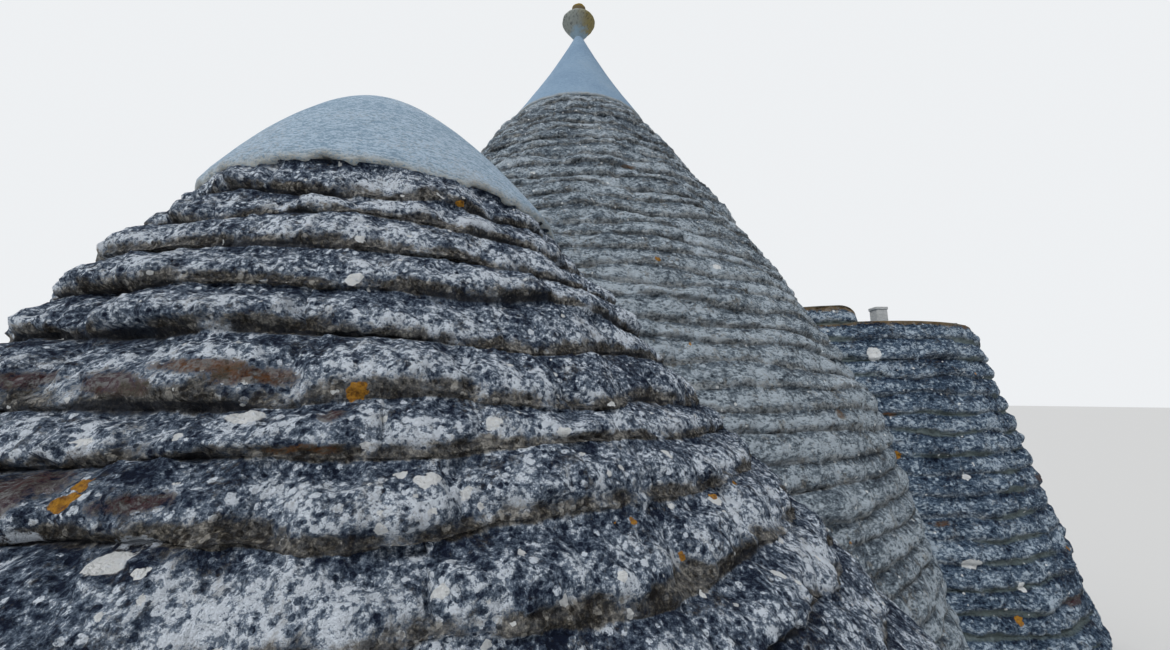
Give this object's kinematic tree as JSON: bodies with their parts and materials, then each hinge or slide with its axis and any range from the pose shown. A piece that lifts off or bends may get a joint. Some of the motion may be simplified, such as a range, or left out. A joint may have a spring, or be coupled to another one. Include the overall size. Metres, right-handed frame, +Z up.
{
  "type": "trullo house",
  "caption": "Drystone trullo house: a tall corbelled cone with a white cap and stone pinnacle, a low cone with a white dome, and a flat-roofed round annex.",
  "frame": {"origin": "on the ground at the axis of the tall trullo", "axes": "+Z up along the tall cone's axis, +Y towards the side with the doorway, +X towards the flat-roofed annex"},
  "size_m": [9.5578, 9.6507, 8.7017],
  "materials": {
    "stone": "lichen-covered limestone, rough",
    "plaster": "limewashed plaster, matte",
    "pinnacle_stone": "weathered carved limestone, matte",
    "dressed_stone": "dressed limestone, matte",
    "paving": "worn limestone slabs"
  },
  "bodies": {
    "root": {"alcove_arch": "dressed_stone", "alcove_floor": "paving", "alcove_threshold": "paving", "annex_arch": "dressed_stone", "annex_floor": "paving", "annex_roof": "stone", "annex_threshold": "paving", "annex_upper_course": "stone", "annex_wall_back": "stone", "annex_wall_front": "stone", "annex_wall_side": "stone", "chimney_cap": "plaster", "chimney_shaft": "plaster", "doorway_arch": "dressed_stone", "doorway_threshold": "paving", "low_cap": "plaster", "low_cone_east": "stone", "low_cone_front": "stone", "low_cone_west": "stone", "low_crown": "stone", "low_wall_east": "stone", "low_wall_front": "stone", "low_wall_west": "stone", "pinnacle_ball": "pinnacle_stone", "pinnacle_knob": "pinnacle_stone", "tall_cap": "plaster", "tall_cone_lower_back": "stone", "tall_cone_lower_east": "stone", "tall_cone_lower_front": "stone", "tall_cone_lower_west": "stone", "tall_cone_upper_back": "stone", "tall_cone_upper_east": "stone", "tall_cone_upper_front": "stone", "tall_cone_upper_west": "stone", "tall_crown": "stone", "tall_floor": "paving", "tall_wall_back_east": "stone", "tall_wall_back_west": "stone", "tall_wall_east_back": "stone", "tall_wall_east_front": "stone", "tall_wall_front_east": "stone", "tall_wall_front_west": "stone", "tall_wall_west": "stone"}
  },
  "joints": []
}
